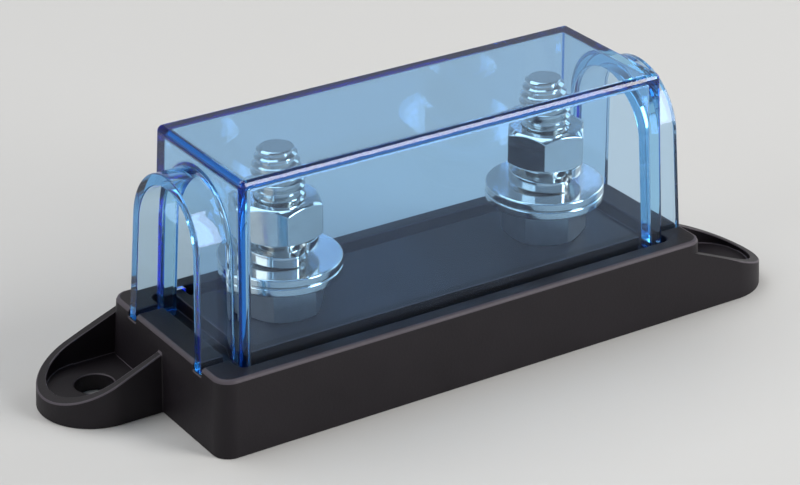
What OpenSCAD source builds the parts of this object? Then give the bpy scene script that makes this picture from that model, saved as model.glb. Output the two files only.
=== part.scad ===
// Bolt-down fuse holder: a moulded base with two threaded studs, their nuts and washers,
// and a clear lift-off cover with an arched cable hood at each end.
// Millimetres. X runs along the base, the front is at -Y, the base stands on Z = 0.

/* [Base block] */
// Length of the block at its foot
base_l = 93; // [88:0.5:120]
// Width of the block at its foot
base_w = 37; // [34:0.5:50]
// Height of the block
base_h = 12.9; // [11:0.1:18]
// Draft of the block's sides and ears, in degrees
base_draft = 2.9; // [0.5:0.1:4]
// Radius of the block's upright corners
base_corner_r = 2.8; // [1.8:0.1:4]
// Radius of the block's top edge
base_edge_r = 0.6; // [0.2:0.1:1]
// Width of the rim outside the groove
rim_w = 3.5; // [2.5:0.1:4.5]
// Length of the shoulder between the groove and the end
shoulder_l = 5.5; // [4.5:0.1:7]
// Width of the groove along the platform's long sides
groove_w = 4.5; // [3.2:0.1:6]
// Width of the groove at the platform's ends
end_groove_w = 3.7; // [3.2:0.1:5]
// Corner radius of the groove's outer wall
groove_r = 1.6; // [0.5:0.1:2.5]
// Width of the webs that join the platform to the rear rim
web_w = 1.9; // [1:0.1:3]

/* [Mounting ears] */
// Reach of each ear past the end of the block
ear_l = 16.3; // [14:0.1:24]
// Width of each ear at its foot
ear_w = 18.5; // [14:0.1:22]
// Thickness of the ear's floor
ear_floor = 2.9; // [2:0.1:5]
// Thickness of the ear's wall at its top
ear_wall = 1.3; // [0.8:0.1:2.5]
// Height of the ear's wall where it meets the block
ear_root_h = 9.7; // [7:0.1:10.6]
// Height of the ear's wall at the tip
ear_tip_h = 3.1; // [3:0.1:6]
// Diameter of the screw hole
ear_hole_d = 6.4; // [4:0.1:9]

/* [Cover] */
// Wall thickness of the cover
cover_wall = 1.8; // [1.2:0.1:2.2]
// Clearance between the cover and the groove's outer wall at the rim
cover_gap = 0.8; // [0.4:0.1:1.2]
// Draft of the cover's sides, in degrees
cover_draft = 2.2; // [0.5:0.1:3]
// Outside radius of the cover's edges
cover_r = 1; // [0.6:0.1:3]
// Inside radius of the cover's edges
cover_in_r = 0.5; // [0.3:0.1:1.5]
// How far the cover's wall reaches down into the groove
cover_depth = 2.4; // [1.5:0.1:3]
// Room between the stud's end and the cover's ceiling
headroom = 1.5; // [0.5:0.1:5]

/* [Cable hoods] */
// Outside radius of the hood's arch
hood_r = 10.45; // [8:0.05:11]
// Wall thickness of the hood
hood_wall = 1.9; // [1.2:0.1:2.5]
// Drop from the cover's top to the top of the arch
hood_drop = 2.7; // [2.2:0.05:6]
// Spread of the hood's legs, in degrees from upright
hood_spread = 2.9; // [0:0.1:5]
// Lean of the hood's mouth, in degrees from upright
hood_lean = 2.8; // [0.5:0.1:5]
// Setback of the foot of the hood's mouth from the end of the block
hood_setback = 0.7; // [0.5:0.1:3]
// How far the legs reach down into the shoulders
leg_depth = 1.4; // [0.8:0.1:2]

/* [Studs and nuts] */
// Distance between the two studs
stud_spacing = 50.5; // [44:0.5:56]
// Thread diameter of the studs
stud_d = 8; // [6:0.5:8]
// Length of the stud from under its head
stud_l = 32.7; // [31:0.1:45]
// Narrowing of the stud's radius along its tapered tip
stud_tip = 1.3; // [0.4:0.1:1.8]
// Length of the stud's tapered tip
stud_tip_l = 3; // [1:0.1:5]
// Width of nuts and bolt heads across their flats
hex_af = 12.2; // [11:0.1:13]
// Height of the bolt heads
head_h = 5.3; // [4:0.1:6]
// Depth of the bolt heads inside the underside
head_recess = 1; // [0.5:0.1:2]
// Height of the lower nuts
lower_nut_h = 6.4; // [5:0.1:7]
// Height of the top nuts
nut_h = 6.2; // [5:0.1:7]
// Turn of the left lower nut about its stud
left_lower_turn = -10.5; // [-30:0.1:30]
// Turn of the right lower nut about its stud
right_lower_turn = 28.5; // [-30:0.1:30]
// Turn of the left top nut about its stud
left_nut_turn = 10; // [-30:0.1:30]
// Turn of the right top nut about its stud
right_nut_turn = -6.5; // [-30:0.1:30]

/* [Washers] */
// Outside diameter of the flat washers
washer_d = 19.5; // [16:0.5:20]
// Thickness of the flat washers
washer_t = 1.45; // [1:0.05:2]
// Rounding of the flat washers' edges
washer_edge = 0.2; // [0.1:0.05:0.4]
// Section of the split lock washer's wire
wire = 1.8; // [1.5:0.1:2.5]
// Free height of the split lock washer
lock_h = 3.6; // [3.2:0.1:5]
// Angle of the lock washer's lower end about its stud
lock_start = -88; // [-180:1:180]
// Turn that the lock washer's wire makes
lock_sweep = 346; // [330:1:350]

/* [Fits] */
// Radial clearance of the threads
thread_gap = 0.05; // [0.03:0.01:0.08]
// Radial clearance of the flat and split washers on the stud
washer_gap = 0.2; // [0.1:0.05:0.4]
// Radial clearance of the stud in the base
bore_gap = 0.2; // [0.1:0.05:0.4]
// Clearance of the bolt head in its pocket, across the flats
pocket_gap = 0.3; // [0.2:0.05:0.6]
// Clearance of the cover's legs and webs in their slots
slot_gap = 0.3; // [0.2:0.05:0.4]
// Clearance under the cover's feet and walls, and at the lock washer's ends
seat_gap = 0.1; // [0.05:0.05:0.2]

/* [Underside] */
// Size of each square hollow moulded into the underside
core_size = 10; // [6:0.5:12]
// Depth of the hollows
core_depth = 6.5; // [3:0.5:7]
// Thickness of the ribs between the hollows
core_rib = 2; // [1.5:0.1:4]

/* [Hidden] */
$fn = 64;
// Facets of the rounded corners that are blended together
blend_fn = 32;
// Diameter of a nut's flat face, as a share of its width across the flats
nut_face = 0.95;
// A thin slice, and an overlap that makes a cut clean
slice = 0.01;
over = 1;
// How far a straight leg cuts into the arch above it, so that the two meet cleanly
tuck = 0.002;

// Half sizes of the groove's outer wall, the platform inside it and the cover at the rim
groove_x = base_l / 2 - shoulder_l;
groove_y = base_w / 2 - rim_w;
platform_x = groove_x - end_groove_w;
platform_y = groove_y - groove_w;
cover_x = groove_x - cover_gap;
cover_y = groove_y - cover_gap;

// Heights, from the underside up
head_top = head_recess + head_h;
groove_floor = base_h - cover_depth - seat_gap;
slot_floor = base_h - leg_depth - seat_gap;
lower_nut_z = base_h;
lower_washer_z = lower_nut_z + lower_nut_h;
upper_washer_z = lower_washer_z + washer_t;
lock_z = upper_washer_z + washer_t + seat_gap;
nut_z = lock_z + lock_h + seat_gap;
stud_top = head_top + stud_l;
ceiling_z = stud_top + headroom;
cover_top = ceiling_z + cover_wall;
cover_foot = base_h - cover_depth;
leg_foot = base_h - leg_depth;
arch_z = cover_top - hood_drop - hood_r;

// Places along and across the base
stud_x = stud_spacing / 2;
ear_y = base_w / 2 - ear_w / 2;
ear_centre_x = base_l / 2 + ear_l - ear_w / 2;
ear_slope = atan((ear_root_h - ear_tip_h) / ear_l);
hood_mouth = base_l / 2 - hood_setback;
hood_root = cover_x - cover_inset(arch_z + hood_r) - cover_wall / 2;

black = [0.13, 0.13, 0.14];
clear_blue = [0.33, 0.58, 0.9, 0.45];
zinc = [0.78, 0.8, 0.82];

// How far a drafted side has drawn in at height z
function base_inset(z) = tan(base_draft) * z;
function cover_inset(z) = tan(cover_draft) * (z - base_h);
// Half width of an arch of radius r at height z, where its legs spread
function leg_half(r, z) = r / cos(hood_spread) + tan(hood_spread) * (arch_z - z);

module at_stud(side) {
    translate([side * stud_x, 0, 0])
        children();
}

module at_corners(half_x, half_y) {
    for (sx = [-1, 1], sy = [-1, 1])
        translate([sx * half_x, sy * half_y, 0])
            children();
}

// Flat rectangle with true round corners
module round_rect(half_x, half_y, r) {
    square([2 * half_x, 2 * (half_y - r)], center = true);
    square([2 * (half_x - r), 2 * half_y], center = true);
    at_corners(half_x - r, half_y - r)
        circle(r);
}

// Base block with drafted sides, round corners and a rolled top edge
module block() {
    roll = base_edge_r * (1 - sqrt(0.5));
    levels = [
        [0, 0],
        [base_h - base_edge_r, 0],
        [base_h - roll, roll],
        [base_h - slice, base_edge_r]
    ];
    hull()
        for (level = levels) {
            inset = base_inset(level[0]) + base_corner_r;
            translate([0, 0, level[0]])
                at_corners(base_l / 2 - inset, base_w / 2 - inset)
                    cylinder(r = base_corner_r - level[1], h = slice, $fn = blend_fn);
        }
}

// Outline of an ear's pocket, from inside the block to the round tip
module pocket_outline(half) {
    translate([base_l / 2 - base_corner_r, -half])
        square([ear_centre_x - base_l / 2 + base_corner_r, 2 * half]);
    translate([ear_centre_x, 0])
        circle(half);
}

// Right-hand ear: a drafted tongue with a sloping top, hollowed to a thin wall
module ear() {
    top_half = ear_w / 2 - base_inset(base_h);
    pocket_half = ear_w / 2 - base_inset(ear_root_h) - ear_wall;
    root_x = base_l / 2 - base_inset(base_h) - base_corner_r;
    translate([0, -ear_y, 0])
        difference() {
            hull() {
                translate([ear_centre_x, 0, 0])
                    cylinder(r1 = ear_w / 2, r2 = top_half, h = base_h, $fn = blend_fn * 2);
                translate([root_x, -ear_w / 2, 0])
                    cube([slice, ear_w, slice]);
                translate([root_x, -top_half, base_h - slice])
                    cube([slice, 2 * top_half, slice]);
            }
            translate([base_l / 2, -ear_w, ear_root_h])
                rotate([0, ear_slope, 0])
                    translate([-base_l / 2, 0, 0])
                        cube([base_l, 2 * ear_w, base_h]);
            translate([0, 0, ear_floor])
                linear_extrude(base_h)
                    pocket_outline(pocket_half);
        }
}

// Groove around the platform, broken at the back by two webs
module groove() {
    translate([0, 0, groove_floor])
        linear_extrude(base_h)
            difference() {
                round_rect(groove_x, groove_y, groove_r);
                square([2 * platform_x, 2 * platform_y], center = true);
                for (side = [-1, 1])
                    translate([side * (platform_x - web_w / 2), groove_y])
                        square([web_w, 2 * groove_w], center = true);
            }
}

// Slots in the shoulders for the legs of the cable hoods
module leg_slots() {
    inner = leg_half(hood_r - hood_wall, leg_foot) - slot_gap;
    outer = leg_half(hood_r, leg_foot) + slot_gap;
    for (sx = [0, 1], sy = [0, 1])
        mirror([sx, 0, 0])
            mirror([0, sy, 0])
                translate([groove_x - slice, inner, slot_floor])
                    cube([shoulder_l + over, outer - inner, base_h]);
}

// Hex pocket for a bolt head and the bore for its shank
module stud_seat() {
    translate([0, 0, -over])
        cylinder(d = (hex_af + pocket_gap) / cos(30), h = head_top + over, $fn = 6);
    cylinder(r = stud_d / 2 + bore_gap, h = base_h + over);
}

// Four square hollows between the bolts that keep the moulding's walls even
module underside_cores() {
    pitch = (core_size + core_rib) / 2;
    translate([0, 0, core_depth / 2 - over / 2])
        at_corners(pitch, pitch)
            cube([core_size, core_size, core_depth + over], center = true);
}

module base() {
    color(black)
        difference() {
            union() {
                difference() {
                    block();
                    groove();
                    leg_slots();
                }
                ear();
                rotate(180)
                    ear();
            }
            for (side = [-1, 1]) {
                at_stud(side)
                    stud_seat();
                translate([side * ear_centre_x, -side * ear_y, -over])
                    cylinder(d = ear_hole_d, h = ear_floor + 2 * over);
            }
            underside_cores();
        }
}

// Drafted box with round edges, set in from the cover's outside by the wall
module cover_box(wall, r, foot, top) {
    hull()
        for (z = [foot, top - r]) {
            inset = cover_inset(z) + wall + r;
            translate([0, 0, z])
                at_corners(cover_x - inset, cover_y - inset)
                    if (z == foot)
                        cylinder(r = r, h = slice, $fn = blend_fn);
                    else
                        sphere(r, $fn = blend_fn);
        }
}

// Arch outline with spreading legs, standing on z = foot
module arch(r, foot) {
    leg_r = r - tuck;
    touch_y = arch_z + leg_r * sin(hood_spread);
    touch_x = leg_r * cos(hood_spread);
    foot_x = leg_half(leg_r, foot);
    translate([0, arch_z])
        circle(r);
    polygon([[-touch_x, touch_y], [-foot_x, foot], [foot_x, foot], [touch_x, touch_y]]);
}

// An outline in Y and Z, run along X between two places
module along_x(from, to) {
    translate([from, 0, 0])
        rotate([90, 0, 90])
            linear_extrude(to - from)
                children();
}

// Hood of one end, with its mouth leaning in towards the top
module hood() {
    difference() {
        along_x(hood_root, hood_mouth)
            arch(hood_r, leg_foot);
        translate([hood_mouth, -base_w, leg_foot])
            rotate([0, -hood_lean, 0])
                translate([0, 0, -over])
                    cube([shoulder_l, 2 * base_w, cover_top]);
    }
}

// Notches over the webs in the rear wall
module web_notches() {
    width = web_w + 2 * slot_gap;
    for (side = [-1, 1])
        translate([side * (platform_x - web_w / 2) - width / 2, 0, cover_foot - over])
            cube([width, base_w, cover_depth + over + slot_gap]);
}

module cover() {
    color(clear_blue)
        difference() {
            union() {
                cover_box(0, cover_r, cover_foot, cover_top);
                for (end = [0, 1])
                    mirror([end, 0, 0])
                        hood();
            }
            cover_box(cover_wall, cover_in_r, cover_foot - over, ceiling_z);
            along_x(-hood_mouth - over, hood_mouth + over)
                arch(hood_r - hood_wall, cover_foot - over);
            web_notches();
        }
}

// Hexagon across the flats, standing on z = 0
module hexagon(height) {
    cylinder(d = hex_af / cos(30), h = height, $fn = 6);
}

// Nut or bolt head with its corners turned off, at the top and, if both, at the bottom
module turned_hexagon(height, both) {
    face_r = nut_face * hex_af / 2;
    corner_r = hex_af / 2 / cos(30);
    drop = (corner_r - face_r) * tan(30);
    low = both ? face_r : corner_r;
    intersection() {
        hexagon(height);
        rotate_extrude()
            polygon([
                [0, 0], [low, 0], [corner_r, both ? drop : 0],
                [corner_r, height - drop], [face_r, height], [0, height]
            ]);
    }
}

module stud(side) {
    r = stud_d / 2;
    color(zinc)
        at_stud(side) {
            translate([0, 0, head_top])
                mirror([0, 0, 1])
                    turned_hexagon(head_h, false);
            rotate_extrude()
                polygon([
                    [0, head_recess + head_h / 2], [r, head_recess + head_h / 2],
                    [r, stud_top - stud_tip_l], [r - stud_tip, stud_top], [0, stud_top]
                ]);
        }
}

module hex_nut(side, z, height, turn) {
    color(zinc)
        at_stud(side)
            translate([0, 0, z])
                rotate(turn)
                    difference() {
                        turned_hexagon(height, true);
                        translate([0, 0, -over])
                            cylinder(r = stud_d / 2 + thread_gap, h = height + 2 * over);
                    }
}

module flat_washer(side, z) {
    inner = stud_d / 2 + washer_gap;
    outer = washer_d / 2;
    e = washer_edge;
    color(zinc)
        at_stud(side)
            translate([0, 0, z])
                rotate_extrude()
                    polygon([
                        [inner, 0], [outer - e, 0], [outer, e],
                        [outer, washer_t - e], [outer - e, washer_t], [inner, washer_t]
                    ]);
}

// Square wire wound left-handed through one open turn
module lock_washer(side) {
    steps = 48;
    inner = stud_d / 2 + washer_gap;
    rise = lock_h - wire;
    rings = [
        for (i = [0 : steps])
            let (angle = lock_start - lock_sweep * i / steps, z = rise * i / steps)
                for (corner = [[inner, 0], [inner + wire, 0], [inner + wire, wire], [inner, wire]])
                    [corner[0] * cos(angle), corner[0] * sin(angle), z + corner[1]]
    ];
    sides = [
        for (i = [0 : steps - 1], k = [0 : 3])
            let (a = 4 * i + k, b = 4 * i + (k + 1) % 4)
                each [[a, b, b + 4], [a, b + 4, a + 4]]
    ];
    last = 4 * steps;
    ends = [[3, 2, 1, 0], [last, last + 1, last + 2, last + 3]];
    color(zinc)
        at_stud(side)
            translate([0, 0, lock_z])
                polyhedron(rings, concat(sides, ends));
}

base();
cover();
stud(-1);  // left_stud
hex_nut(-1, lower_nut_z, lower_nut_h, left_lower_turn);  // left_lower_nut
flat_washer(-1, lower_washer_z);  // left_lower_washer
flat_washer(-1, upper_washer_z);  // left_upper_washer
lock_washer(-1);  // left_lock_washer
hex_nut(-1, nut_z, nut_h, left_nut_turn);  // left_nut
stud(1);  // right_stud
hex_nut(1, lower_nut_z, lower_nut_h, right_lower_turn);  // right_lower_nut
flat_washer(1, lower_washer_z);  // right_lower_washer
flat_washer(1, upper_washer_z);  // right_upper_washer
lock_washer(1);  // right_lock_washer
hex_nut(1, nut_z, nut_h, right_nut_turn);  // right_nut
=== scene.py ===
import math

import bpy
from mathutils import Matrix, Vector


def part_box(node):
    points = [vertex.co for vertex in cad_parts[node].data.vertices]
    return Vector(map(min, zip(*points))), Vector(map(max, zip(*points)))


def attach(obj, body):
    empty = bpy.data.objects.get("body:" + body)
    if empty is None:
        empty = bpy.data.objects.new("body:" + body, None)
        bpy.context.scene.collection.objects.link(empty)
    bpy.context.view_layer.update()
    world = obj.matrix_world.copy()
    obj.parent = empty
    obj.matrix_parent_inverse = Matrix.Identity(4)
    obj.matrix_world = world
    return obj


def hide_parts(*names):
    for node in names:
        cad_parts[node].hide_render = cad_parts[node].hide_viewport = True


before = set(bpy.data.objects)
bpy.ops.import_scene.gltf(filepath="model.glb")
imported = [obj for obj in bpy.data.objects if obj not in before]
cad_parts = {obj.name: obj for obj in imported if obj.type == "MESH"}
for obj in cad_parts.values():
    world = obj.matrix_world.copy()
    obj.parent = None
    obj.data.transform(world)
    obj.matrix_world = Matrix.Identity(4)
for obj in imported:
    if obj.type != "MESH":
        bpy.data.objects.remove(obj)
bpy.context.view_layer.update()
mm = 0.001
sides = ("left", "right")
mixShare, mixFirst, mixSecond, mixColour = 0, 6, 7, 2  # sockets of a Mix node that mixes colours
print("frame loaded")


# sRGB hex to the linear colour that Blender's sockets take
def toLinear(hexColour):
    parts = [int(hexColour[i:i + 2], 16) / 255 for i in (1, 3, 5)]
    return [p / 12.92 if p <= 0.04045 else ((p + 0.055) / 1.055) ** 2.4 for p in parts] + [1.0]


# one node with its settings and the links that come into it
def addNode(tree, kind, settings=None, links=None):
    node = tree.nodes.new(kind)
    for key, value in (settings or {}).items():
        if isinstance(key, int) or key in node.inputs:
            node.inputs[key].default_value = value
        else:
            setattr(node, key, value)
    for key, source in (links or {}).items():
        tree.links.new(source, node.inputs[key])
    return node


def newMaterial(name):
    material = bpy.data.materials.new(name)
    material.use_nodes = True
    material.node_tree.nodes.clear()
    return material, material.node_tree


def pickOnly(obj):
    if bpy.context.mode != "OBJECT":
        bpy.ops.object.mode_set(mode="OBJECT")
    bpy.ops.object.select_all(action="DESELECT")
    obj.select_set(True)
    bpy.context.view_layer.objects.active = obj


def editAll(obj):
    pickOnly(obj)
    bpy.ops.object.mode_set(mode="EDIT")
    bpy.ops.mesh.select_all(action="SELECT")


def applyModifier(obj, name, kind, settings):
    pickOnly(obj)
    modifier = obj.modifiers.new(name, kind)
    for key, value in settings.items():
        setattr(modifier, key, value)
    bpy.ops.object.modifier_apply(modifier=modifier.name)


def combine(obj, other, operation):
    applyModifier(obj, "combine", "BOOLEAN", {"operation": operation, "solver": "EXACT", "object": other})
    bpy.data.objects.remove(other)


finishLook = {
    "sameFace": 0.4,  # degrees between triangles that belong to one flat face
    "flatPull": 80,  # how strongly large faces keep the shading flat
}


# a copy of a CAD node with its loose triangles joined into whole faces
def copyOfNode(nodeName, pieceName, weld):
    piece = bpy.data.objects.new(pieceName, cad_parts[nodeName].data.copy())
    bpy.context.scene.collection.objects.link(piece)
    mesh = piece.data
    mesh.materials.clear()
    if "custom_normal" in mesh.attributes:
        mesh.attributes.remove(mesh.attributes["custom_normal"])
    editAll(piece)
    bpy.ops.mesh.remove_doubles(threshold=weld)
    bpy.ops.mesh.dissolve_limited(angle_limit=math.radians(finishLook["sameFace"]))
    bpy.ops.object.mode_set(mode="OBJECT")
    return piece


def softenEdges(piece, look, limit="ANGLE"):
    applyModifier(piece, "soft edges", "BEVEL", {
        "width": look["edge"], "segments": look["segments"], "limit_method": limit,
        "angle_limit": math.radians(look["sharperThan"]), "use_clamp_overlap": False,
        "miter_outer": "MITER_ARC"})


def shadeSmooth(piece, angle):
    pickOnly(piece)
    bpy.ops.object.shade_smooth_by_angle(angle=math.radians(angle))
    applyModifier(piece, "flat faces stay flat", "WEIGHTED_NORMAL", {
        "keep_sharp": True, "weight": finishLook["flatPull"]})


def normalsAtEdges(mesh):
    normals = {}
    for face in mesh.polygons:
        for key in face.edge_keys:
            normals.setdefault(key, []).append(face.normal)
    return normals


def edgeEnds(mesh, edge):
    return [mesh.vertices[i].co for i in edge.vertices]


def dress(piece, material, body, node):
    piece.data.materials.append(material)
    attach(piece, body)
    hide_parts(node)


# camera, as fitted to the photograph: degrees, metres, and millimetres for the lens and sensor
cameraLook = {
    "azimuth": -33.06, "elevation": 25.986, "roll": 0.086, "distance": 0.44085,
    "target": (-0.002568, 0.0, 0.01773), "lens": 123.471, "sensor": 36.0,
    "nearest": 0.01, "farthest": 50,
}


def makeCamera(look):
    az, el, roll = (math.radians(look[k]) for k in ("azimuth", "elevation", "roll"))
    back = Vector((math.sin(az) * math.cos(el), -math.cos(az) * math.cos(el), math.sin(el)))
    right = Vector((math.cos(az), math.sin(az), 0))
    up = back.cross(right)
    rolledRight = right * math.cos(roll) + up * math.sin(roll)
    rolledUp = up * math.cos(roll) - right * math.sin(roll)
    data = bpy.data.cameras.new("camera")
    data.lens = look["lens"]
    data.sensor_width = look["sensor"]
    data.sensor_fit = "HORIZONTAL"
    data.clip_start = look["nearest"]
    data.clip_end = look["farthest"]
    camera = bpy.data.objects.new("camera", data)
    bpy.context.scene.collection.objects.link(camera)
    place = Matrix((rolledRight, rolledUp, back)).transposed().to_4x4()
    place.translation = Vector(look["target"]) + back * look["distance"]
    camera.matrix_world = place
    bpy.context.scene.camera = camera


makeCamera(cameraLook)
print("camera set")


# studio: pale floor, soft lamps, and surroundings that are pale low down and darker overhead
studioLook = {
    "floor": "#c8c8c7", "floorSize": 6.0, "floorDrop": 0.0001, "floorRoughness": 0.9, "floorSpecular": 0.1,
    "low": "#d6d6d7", "high": "#5c5d60",  # surroundings at the horizon and overhead
    "climb": (0.2, 0.8),  # heights between which one goes over into the other
    "fill": 0.55,  # share of the surroundings that matte surfaces get
    "bounces": 64,  # light runs a long way inside the cover's walls before it comes out at an edge
    "aim": (0.0, 0.0, 0.02),
    "lamps": {
        # a tall box at the front right, whose reflection runs along the cover's front edge
        "key": {"at": (0.5, -0.686, 0.457), "long": (0, 0.453, 0.892), "width": 0.34, "length": 0.95,
                "watts": 9.0, "colour": "#fffdfa"},
        # boxes at both sides, which the metal shows as bright bands with a dark one between
        "left": {"at": (-1.0, -0.05, 0.42), "long": (0, 0, 1), "width": 0.8, "length": 0.7,
                 "watts": 3.6, "colour": "#ffffff"},
        "right": {"at": (1.0, 0.1, 0.45), "long": (0, 0, 1), "width": 0.7, "length": 0.7,
                  "watts": 3.2, "colour": "#ffffff"},
        "top": {"at": (-0.2, 0.45, 1.0), "long": (1, 0, 0), "width": 0.8, "length": 1.1,
                "watts": 8.0, "colour": "#ffffff"},
    },
}


def makeFloor(look):
    bpy.ops.mesh.primitive_plane_add(size=look["floorSize"], location=(0, 0, -look["floorDrop"]))
    floor = bpy.context.object
    floor.name = "floor"
    material, tree = newMaterial("pale matte studio board")  # even pale grey that takes a soft shadow
    shader = addNode(tree, "ShaderNodeBsdfPrincipled", {
        "Base Color": toLinear(look["floor"]), "Roughness": look["floorRoughness"],
        "Specular IOR Level": look["floorSpecular"]})
    addNode(tree, "ShaderNodeOutputMaterial", links={"Surface": shader.outputs[0]})
    floor.data.materials.append(material)
    pickOnly(floor)
    bpy.ops.object.transform_apply(location=True, rotation=False, scale=False)


def makeLamp(name, lamp, aim):
    data = bpy.data.lights.new(name, "AREA")
    data.shape = "RECTANGLE"
    data.size = lamp["width"]
    data.size_y = lamp["length"]
    data.energy = lamp["watts"]
    data.color = toLinear(lamp["colour"])[:3]
    obj = bpy.data.objects.new(name, data)
    bpy.context.scene.collection.objects.link(obj)
    away = (Vector(lamp["at"]) - Vector(aim)).normalized()
    along = Vector(lamp["long"])
    along = (along - away * along.dot(away)).normalized()
    place = Matrix((along.cross(away), along, away)).transposed().to_4x4()
    place.translation = Vector(lamp["at"])
    obj.matrix_world = place


def makeSurroundings(look):
    world = bpy.data.worlds.new("studio")
    bpy.context.scene.world = world
    world.use_nodes = True
    tree = world.node_tree
    tree.nodes.clear()
    direction = addNode(tree, "ShaderNodeTexCoord")
    height = addNode(tree, "ShaderNodeSeparateXYZ", links={0: direction.outputs["Generated"]})
    start, end = look["climb"]
    climb = addNode(tree, "ShaderNodeMapRange", {"From Min": start, "From Max": end},
                    {"Value": height.outputs["Z"]})
    shade = addNode(tree, "ShaderNodeMix", {
        "data_type": "RGBA", mixFirst: toLinear(look["low"]), mixSecond: toLinear(look["high"])},
        {mixShare: climb.outputs[0]})
    # the camera, metal and clear plastic see the surroundings whole, and matte surfaces get the fill
    ray = addNode(tree, "ShaderNodeLightPath")
    seen = addNode(tree, "ShaderNodeMath", {"operation": "MAXIMUM"},
                   {0: ray.outputs["Is Camera Ray"], 1: ray.outputs["Is Glossy Ray"]})
    seen = addNode(tree, "ShaderNodeMath", {"operation": "MAXIMUM"},
                   {0: seen.outputs[0], 1: ray.outputs["Is Transmission Ray"]})
    level = addNode(tree, "ShaderNodeMapRange", {"To Min": look["fill"], "To Max": 1.0},
                    {"Value": seen.outputs[0]})
    glow = addNode(tree, "ShaderNodeBackground",
                   links={"Color": shade.outputs[mixColour], "Strength": level.outputs[0]})
    addNode(tree, "ShaderNodeOutputWorld", links={"Surface": glow.outputs[0]})


def makeStudio(look):
    scene = bpy.context.scene
    scene.view_settings.view_transform = "Standard"
    scene.cycles.max_bounces = look["bounces"]
    scene.cycles.transmission_bounces = look["bounces"]
    scene.cycles.glossy_bounces = look["bounces"]
    makeFloor(look)
    for name, lamp in look["lamps"].items():
        makeLamp(name, lamp, look["aim"])
    makeSurroundings(look)


makeStudio(studioLook)
print("studio set")


nylonLook = {
    # the third colour is a painted highlight for the rounded upper edges
    "colour": "#141115", "paler": "#1d191e", "paintedHighlight": "#4c474e",
    "roughness": (0.42, 0.54), "specular": 0.2, "ior": 1.53,
    "cloud": 9 * mm, "cloudDetail": 4.0, "cloudBreak": 0.6, "cloudSpan": (0.3, 0.7),
    "grain": 0.45 * mm, "grainDetail": 2.0, "grainBreak": 0.5, "bump": 0.035 * mm, "bumpStrength": 0.5,
}


# Glass-filled nylon, moulded in a fine-eroded tool: near black, satin, with a faint cloudy flow
# of the filler, a fine even grain, and a painted highlight: a paler colour on the rounded upper edges.
# The grain is drawn coarser than the real one so that it shows.
def glassFilledNylon(look):
    material, tree = newMaterial("glass-filled nylon, moulded black")
    place = addNode(tree, "ShaderNodeTexCoord")
    cloud = addNode(tree, "ShaderNodeTexNoise", {
        "Scale": 1 / look["cloud"], "Detail": look["cloudDetail"], "Roughness": look["cloudBreak"]},
        {"Vector": place.outputs["Object"]})
    grain = addNode(tree, "ShaderNodeTexNoise", {
        "Scale": 1 / look["grain"], "Detail": look["grainDetail"], "Roughness": look["grainBreak"]},
        {"Vector": place.outputs["Object"]})
    flow = addNode(tree, "ShaderNodeMix", {
        "data_type": "RGBA", mixFirst: toLinear(look["colour"]), mixSecond: toLinear(look["paler"])},
        {mixShare: cloud.outputs[0]})
    edges = addNode(tree, "ShaderNodeAttribute", {"attribute_name": "paintedHighlightEdge"})
    colour = addNode(tree, "ShaderNodeMix", {"data_type": "RGBA", mixSecond: toLinear(look["paintedHighlight"])},
                     {mixShare: edges.outputs["Fac"], mixFirst: flow.outputs[mixColour]})
    start, end = look["cloudSpan"]
    low, high = look["roughness"]
    rough = addNode(tree, "ShaderNodeMapRange", {
        "From Min": start, "From Max": end, "To Min": low, "To Max": high},
        {"Value": cloud.outputs[0]})
    bump = addNode(tree, "ShaderNodeBump", {"Strength": look["bumpStrength"], "Distance": look["bump"]},
                   {"Height": grain.outputs[0]})
    shader = addNode(tree, "ShaderNodeBsdfPrincipled", {
        "Specular IOR Level": look["specular"], "IOR": look["ior"]},
        {"Base Color": colour.outputs[mixColour], "Roughness": rough.outputs[0], "Normal": bump.outputs[0]})
    addNode(tree, "ShaderNodeOutputMaterial", links={"Surface": shader.outputs[0]})
    return material


clearLook = {
    # flat is the plastic's own colour; hoodEnd and corner are a painted glow, deeper blue where guided light
    # comes out
    "flat": "#eaf2ff", "hoodEnd": "#3c97ea", "corner": "#0b55ca",
    "ior": 1.585, "clear": 0.99, "roughness": 0.012,
    "absorbs": "#00d7fa", "density": 164.0,
    # the walls' reflections are painted this blue; the long upper edges keep white reflections
    "paintedReflectionBlue": "#b0c2e8", "glint": "#ffffff",  # what the walls mirror, and what the long upper edges mirror
}


# Polycarbonate tinted blue all through, from a polished mould: clear on the flats, whose reflections are
# painted a little blue, with the lamps' white glint left unpainted along the upper edges, and a painted glow
# at the corners, the hoods' ends and the foot: deeper blue colour where light that ran along inside the walls
# comes out
def bluePolycarbonate(look):
    material, tree = newMaterial("clear blue polycarbonate")
    # the painted glow's depth on each face
    depth = addNode(tree, "ShaderNodeAttribute", {"attribute_name": "paintedEdgeGlow"})
    tones = addNode(tree, "ShaderNodeValToRGB", links={"Fac": depth.outputs["Fac"]})
    tones.color_ramp.elements.new(coverLook["halfPaintedGlow"])
    for stop, tone in zip(tones.color_ramp.elements, ("flat", "hoodEnd", "corner")):
        stop.color = toLinear(look[tone])
    upper = addNode(tree, "ShaderNodeAttribute", {"attribute_name": "longEdge"})
    # painted reflection: the walls' reflections are tinted blue, the long upper edges' stay white
    paintedReflectionBlue = addNode(tree, "ShaderNodeMix", {
        "data_type": "RGBA", mixFirst: toLinear(look["paintedReflectionBlue"]), mixSecond: toLinear(look["glint"])},
        {mixShare: upper.outputs["Fac"]})
    shader = addNode(tree, "ShaderNodeBsdfPrincipled", {
        "Roughness": look["roughness"], "IOR": look["ior"], "Transmission Weight": look["clear"]},
        {"Base Color": tones.outputs[0], "Specular Tint": paintedReflectionBlue.outputs[mixColour]})
    tintAndPaintedGlow = addNode(tree, "ShaderNodeVolumeAbsorption", {
        "Color": toLinear(look["absorbs"]), "Density": look["density"]})
    addNode(tree, "ShaderNodeOutputMaterial",
            links={"Surface": shader.outputs[0], "Volume": tintAndPaintedGlow.outputs[0]})
    return material


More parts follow.
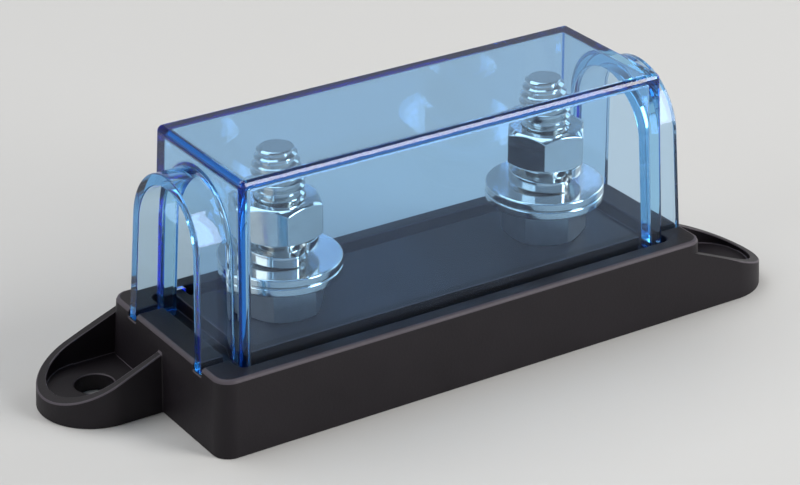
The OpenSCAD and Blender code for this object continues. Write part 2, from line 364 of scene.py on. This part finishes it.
zincLook = {
    "name": "bright zinc plated steel", "colour": "#e9e7e3", "duller": "#d3d1ce", "roughness": (0.05, 0.15),
    "patch": 2.2 * mm, "patchDetail": 3.0, "patchBreak": 0.55, "patchSpan": (0.3, 0.7),
    "pitting": 0.25 * mm, "pitDetail": 2.0, "bump": 0.006 * mm, "bumpStrength": 0.4,
}
dullLook = {
    **zincLook,
    "name": "dull zinc plated steel", "colour": "#d2d3d4", "duller": "#b9babc", "roughness": (0.28, 0.36),
    "pitting": 0.3 * mm, "bump": 0.002 * mm,
}


# Zinc plate on cold-headed steel, with faint cloudy patches and fine pits: a mirror where it is bright,
# and a soft grey sheen from all the lamps where it is dull
def zincPlate(look):
    material, tree = newMaterial(look["name"])
    place = addNode(tree, "ShaderNodeTexCoord")
    patch = addNode(tree, "ShaderNodeTexNoise", {
        "Scale": 1 / look["patch"], "Detail": look["patchDetail"], "Roughness": look["patchBreak"]},
        {"Vector": place.outputs["Object"]})
    pits = addNode(tree, "ShaderNodeTexNoise", {
        "Scale": 1 / look["pitting"], "Detail": look["pitDetail"]},
        {"Vector": place.outputs["Object"]})
    colour = addNode(tree, "ShaderNodeMix", {
        "data_type": "RGBA", mixFirst: toLinear(look["colour"]), mixSecond: toLinear(look["duller"])},
        {mixShare: patch.outputs[0]})
    start, end = look["patchSpan"]
    low, high = look["roughness"]
    rough = addNode(tree, "ShaderNodeMapRange", {
        "From Min": start, "From Max": end, "To Min": low, "To Max": high},
        {"Value": patch.outputs[0]})
    bump = addNode(tree, "ShaderNodeBump", {"Strength": look["bumpStrength"], "Distance": look["bump"]},
                   {"Height": pits.outputs[0]})
    shader = addNode(tree, "ShaderNodeBsdfPrincipled", {"Metallic": 1.0},
                     {"Base Color": colour.outputs[mixColour], "Roughness": rough.outputs[0],
                      "Normal": bump.outputs[0]})
    addNode(tree, "ShaderNodeOutputMaterial", links={"Surface": shader.outputs[0]})
    return material


# moulded base
baseLook = {
    "weld": 0.03 * mm, "edge": 0.22 * mm, "segments": 3, "sharperThan": 28, "smooth": 32,
    "foot": 0.3 * mm,  # edges lower than this stay sharp
    "crowdedX": (42.8 * mm, 49.5 * mm), "crowdedY": 15.8 * mm,  # where an ear's wall meets the drafted wall
    # the next two pick the faces that get the painted highlight
    "highlightLean": (0.25, 0.95), "highlightCorners": 6,  # upward lean, and most corners, of a rounded edge's face
}


# sharp edges are softened, but not the foot or the thin slivers where an ear's wall runs into the base
def weighEdges(piece, look):
    mesh = piece.data
    normals = normalsAtEdges(mesh)
    weights = mesh.attributes.new("bevel_weight_edge", "FLOAT", "EDGE")
    near, far = look["crowdedX"]
    for edge, weight in zip(mesh.edges, weights.data):
        start, end = edgeEnds(mesh, edge)
        middle = (start + end) / 2
        onEarCorner = middle.x * middle.y < 0  # the ears sit on one diagonal
        crowded = onEarCorner and near < abs(middle.x) < far and abs(middle.y) > look["crowdedY"]
        first, second = normals[edge.key]
        sharp = first.angle(second, 0) >= math.radians(look["sharperThan"])
        weight.value = 1.0 if sharp and not crowded and middle.z >= look["foot"] else 0.0


# 1 on the rounded upper edges, which get a painted highlight, 0 on the rest
def markHighlightedEdges(piece, look):
    paintedHighlight = piece.data.attributes.new("paintedHighlightEdge", "FLOAT", "FACE")
    low, high = look["highlightLean"]
    for face, mark in zip(piece.data.polygons, paintedHighlight.data):
        small = len(face.vertices) <= look["highlightCorners"]
        mark.value = 1.0 if small and low < face.normal.z < high else 0.0


def makeBase(look):
    piece = copyOfNode("base", "mouldedBase", look["weld"])
    weighEdges(piece, look)
    softenEdges(piece, look, "WEIGHT")
    shadeSmooth(piece, look["smooth"])
    markHighlightedEdges(piece, look)
    dress(piece, glassFilledNylon(nylonLook), "base", "base")


makeBase(baseLook)
print("base made")


# clear cover
coverLook = {
    "weld": 0.03 * mm, "edge": 0.18 * mm, "segments": 3, "sharperThan": 30, "smooth": 32,
    "halfX": 40.2 * mm, "wallBand": (2.0 * mm, 0.5 * mm),  # end wall, and how far in and out its edges lie
    "hoodRadius": 10.45 * mm, "hoodBand": (0.5 * mm, 2.0 * mm), "archZ": 29.15 * mm,  # hood's outer face
    "fillet": 0.9 * mm, "filletSegments": 5, "filletFrom": 13.2 * mm, "slack": 0.01 * mm,
    "sideOn": 0.4, "endOn": 0.9,  # how far along X the hood's faces point at most, and the wall's at least
    "lean": 0.12, "cornerFrom": 12.6 * mm, "topFrom": 41.0 * mm,  # rounded edges lean two ways at once
    "endLean": 0.3, "endDepth": 0.3 * mm, "footHeight": 0.4 * mm,
    # how deep the painted glow is at the edges and at the hoods' free ends
    "fullPaintedGlow": 1.0, "halfPaintedGlow": 0.5,
}


# the inside corner where each hood's outer face runs into the end wall gets a round
def filletHoods(piece, look):
    editAll(piece)
    bpy.ops.mesh.bisect(plane_co=(0, 0, look["filletFrom"]), plane_no=(0, 0, 1))
    bpy.ops.mesh.select_mode(type="EDGE")
    bpy.ops.mesh.select_all(action="DESELECT")
    bpy.ops.object.mode_set(mode="OBJECT")
    mesh = piece.data
    normals = normalsAtEdges(mesh)
    wallIn, wallOut = look["wallBand"]
    hoodIn, hoodOut = look["hoodBand"]
    for edge in mesh.edges:
        start, end = edgeEnds(mesh, edge)
        middle = (start + end) / 2
        byWall = look["halfX"] - wallIn < abs(middle.x) < look["halfX"] + wallOut
        reach = math.hypot(middle.y, max(middle.z - look["archZ"], 0))
        byHood = reach > look["hoodRadius"] - hoodIn and abs(middle.y) < look["hoodRadius"] + hoodOut
        above = min(start.z, end.z) > look["filletFrom"] - look["slack"]
        leans = sorted(abs(normal.x) for normal in normals[edge.key])
        corner = len(leans) == 2 and leans[0] < look["sideOn"] and leans[1] > look["endOn"]
        edge.select = byWall and byHood and above and corner
    bpy.ops.object.mode_set(mode="EDIT")
    bpy.ops.mesh.bevel(offset=look["fillet"], segments=look["filletSegments"], affect="EDGES",
                       clamp_overlap=False)
    bpy.ops.mesh.select_mode(type="VERT")
    bpy.ops.object.mode_set(mode="OBJECT")


# How deep the painted glow is, deeper blue standing in for light guided inside the walls: full on the upright
# corners, the end edges and the foot, and half on the hoods' free ends. longEdge marks the two long upper
# edges.
def markEdges(piece, look):
    mesh = piece.data
    reach = max(abs(vertex.co.x) for vertex in mesh.vertices)
    foot = min(vertex.co.z for vertex in mesh.vertices) + look["footHeight"]
    for name in ("paintedEdgeGlow", "longEdge"):
        mesh.attributes.new(name, "FLOAT", "FACE")
    paintedGlows = mesh.attributes["paintedEdgeGlow"].data
    glints = mesh.attributes["longEdge"].data
    for face, tintAndPaintedGlow, glint in zip(mesh.polygons, paintedGlows, glints):
        spot = face.center
        outward = face.normal.x * math.copysign(1, spot.x)
        sideways = face.normal.y * math.copysign(1, spot.y)
        upward = face.normal.z
        atTop = upward > look["lean"] and spot.z > look["topFrom"]
        corner = outward > look["lean"] and sideways > look["lean"] and abs(spot.y) > look["cornerFrom"]
        endTop = outward > look["lean"] and atTop
        freeEnd = outward > look["endLean"] and abs(spot.x) > reach - look["endDepth"]
        if corner or endTop or spot.z < foot:
            tintAndPaintedGlow.value = look["fullPaintedGlow"]
        elif freeEnd:
            tintAndPaintedGlow.value = look["halfPaintedGlow"]
        glint.value = 1.0 if sideways > look["lean"] and atTop else 0.0


def makeCover(look):
    piece = copyOfNode("cover", "clearCover", look["weld"])
    filletHoods(piece, look)
    softenEdges(piece, look)
    shadeSmooth(piece, look["smooth"])
    markEdges(piece, look)
    dress(piece, bluePolycarbonate(clearLook), "cover", "cover")


makeCover(coverLook)
print("cover made")


# nuts and flat washers
nutLook = {"weld": 0.002 * mm, "edge": 0.12 * mm, "segments": 2, "sharperThan": 24, "smooth": 30}
washerLook = {"weld": 0.002 * mm, "edge": 0.1 * mm, "segments": 2, "sharperThan": 24, "smooth": 30}
brightZinc = zincPlate(zincLook)
dullZinc = zincPlate(dullLook)


def makeTurnedPart(nodeName, pieceName, look, material, body):
    piece = copyOfNode(nodeName, pieceName, look["weld"])
    softenEdges(piece, look)
    shadeSmooth(piece, look["smooth"])
    dress(piece, material, body, nodeName)


for side in sides:
    makeTurnedPart(side + "_lower_nut", side + "LowerNut", nutLook, dullZinc, "base")
    makeTurnedPart(side + "_nut", side + "TopNut", nutLook, brightZinc, side + "_nut")
    makeTurnedPart(side + "_lower_washer", side + "LowerWasher", washerLook, brightZinc, "base")
    makeTurnedPart(side + "_upper_washer", side + "UpperWasher", washerLook, brightZinc, "base")
print("nuts and washers made")


# split lock washers
lockLook = {
    "inner": 4.2 * mm, "wire": 1.8 * mm, "start": -92, "sweep": 346, "steps": 64,
    "edge": 0.16 * mm, "segments": 3, "sharperThan": 40, "smooth": 40,
}


# X of a stud's axis
def studSpot(side):
    low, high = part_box(side + "_stud")
    return (low[0] + high[0]) / 2


def makeLockWasher(side, look):
    low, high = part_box(side + "_lock_washer")
    rise = high[2] - low[2] - look["wire"]
    half = look["wire"] / 2
    bpy.ops.object.select_all(action="DESELECT")
    bpy.ops.mesh.primitive_plane_add(size=look["wire"], location=(look["inner"] + half, 0, half),
                                     rotation=(math.radians(90), 0, 0))
    piece = bpy.context.object
    piece.name = side + "LockWasher"
    bpy.ops.object.transform_apply(location=True, rotation=True, scale=True)
    editAll(piece)
    bpy.ops.mesh.delete(type="ONLY_FACE")
    bpy.ops.object.mode_set(mode="OBJECT")
    # left-handed, so the wire turns clockwise as it climbs
    applyModifier(piece, "wind", "SCREW", {
        "angle": -math.radians(look["sweep"]), "screw_offset": rise, "iterations": 1, "axis": "Z",
        "steps": look["steps"], "render_steps": look["steps"]})
    editAll(piece)
    bpy.ops.mesh.fill_holes(sides=4)
    bpy.ops.mesh.select_all(action="SELECT")
    bpy.ops.mesh.normals_make_consistent(inside=False)
    bpy.ops.object.mode_set(mode="OBJECT")
    softenEdges(piece, look)
    piece.rotation_euler = (0, 0, math.radians(look["start"]))
    piece.location = (studSpot(side), 0, low[2])
    pickOnly(piece)
    bpy.ops.object.transform_apply(location=True, rotation=True, scale=True)
    shadeSmooth(piece, look["smooth"])
    dress(piece, brightZinc, side + "_lock", side + "_lock_washer")


for side in sides:
    makeLockWasher(side, lockLook)
print("lock washers made")


# threaded studs
studLook = {
    "pitch": 1.25 * mm, "crest": 0.16 * mm, "root": 0.31 * mm, "radius": 4.0 * mm, "rootRadius": 3.32 * mm,
    "steps": 48, "spareTurns": 2, "weld": 0.002 * mm, "smooth": 30,
    "from": 8.0 * mm, "overlap": 0.3 * mm,  # foot of the thread, and how far the neck runs into it
    "tip": 1.0 * mm, "tipLength": 3.4 * mm,  # how much the thread narrows towards the end
    "flat": 2.75 * mm, "flatSides": 96, "chamfer": {"edge": 0.15 * mm, "segments": 3, "sharperThan": 40},
    "neck": {"edge": 0.12 * mm, "segments": 2, "sharperThan": 24},
}


# an open outline in the XZ plane, extruded on from its first point
def drawOutline(name, start, moves):
    bpy.ops.object.select_all(action="DESELECT")
    bpy.ops.mesh.primitive_plane_add(size=mm, location=(0, 0, 0))
    piece = bpy.context.object
    piece.name = name
    editAll(piece)
    bpy.ops.mesh.merge(type="CENTER")
    bpy.ops.mesh.select_all(action="SELECT")
    bpy.ops.transform.translate(value=(start[0], 0, start[1]))
    for along, rise in moves:
        bpy.ops.mesh.extrude_region_move(TRANSFORM_OT_translate={"value": (along, 0, rise)})
    bpy.ops.object.mode_set(mode="OBJECT")
    return piece


# cuts away what lies beyond a height and closes the cut
def trimLevel(height, keep):
    bpy.ops.mesh.select_all(action="SELECT")
    bpy.ops.mesh.bisect(plane_co=(0, 0, height), plane_no=(0, 0, 1 if keep == "below" else -1),
                        use_fill=True, clear_outer=True)


def makeThread(name, top, look):
    depth = look["radius"] - look["rootRadius"]
    flank = (look["pitch"] - look["crest"] - look["root"]) / 2
    turns = math.ceil((top - look["from"]) / look["pitch"]) + look["spareTurns"]
    rod = drawOutline(name, (look["radius"], look["from"] - look["pitch"]), [
        (0, look["crest"]), (-depth, flank), (0, look["root"]), (depth, flank)])
    applyModifier(rod, "wind", "SCREW", {
        "angle": 2 * math.pi, "screw_offset": look["pitch"], "iterations": turns, "axis": "Z",
        "steps": look["steps"], "render_steps": look["steps"], "use_merge_vertices": True})
    editAll(rod)
    bpy.ops.mesh.remove_doubles(threshold=look["weld"])
    trimLevel(top + look["pitch"] / 2, "below")
    trimLevel(look["from"], "above")
    bpy.ops.mesh.select_all(action="SELECT")
    bpy.ops.mesh.normals_make_consistent(inside=False)
    bpy.ops.object.mode_set(mode="OBJECT")
    return rod


# rolled threads run on over the tapered tip, to a flat end with a small chamfer
def shapeTip(rod, top, look):
    for vertex in rod.data.vertices:
        rise = max(vertex.co.z - (top - look["tipLength"]), 0)
        narrower = 1 - look["tip"] / look["radius"] * rise / look["tipLength"]
        vertex.co.x *= narrower
        vertex.co.y *= narrower
    bpy.ops.object.select_all(action="DESELECT")
    bpy.ops.mesh.primitive_cone_add(vertices=look["flatSides"], radius1=look["flat"] + top,
                                    radius2=look["flat"], depth=top, location=(0, 0, top / 2))
    cone = bpy.context.object
    bpy.ops.object.transform_apply(location=True, rotation=True, scale=True)
    softenEdges(cone, look["chamfer"])
    combine(rod, cone, "INTERSECT")


def makeStud(side, look):
    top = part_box(side + "_stud")[1][2]
    rod = makeThread(side + "Thread", top, look)
    shapeTip(rod, top, look)
    rod.location = (studSpot(side), 0, 0)
    pickOnly(rod)
    bpy.ops.object.transform_apply(location=True, rotation=True, scale=True)
    # the plain neck and head come from the CAD stud, cut off just inside the thread
    piece = copyOfNode(side + "_stud", side + "Stud", look["weld"])
    editAll(piece)
    trimLevel(look["from"] + look["overlap"], "below")
    bpy.ops.object.mode_set(mode="OBJECT")
    softenEdges(piece, look["neck"])
    combine(piece, rod, "UNION")
    shadeSmooth(piece, look["smooth"])
    dress(piece, brightZinc, "base", side + "_stud")


for side in sides:
    makeStud(side, studLook)
print("studs made")
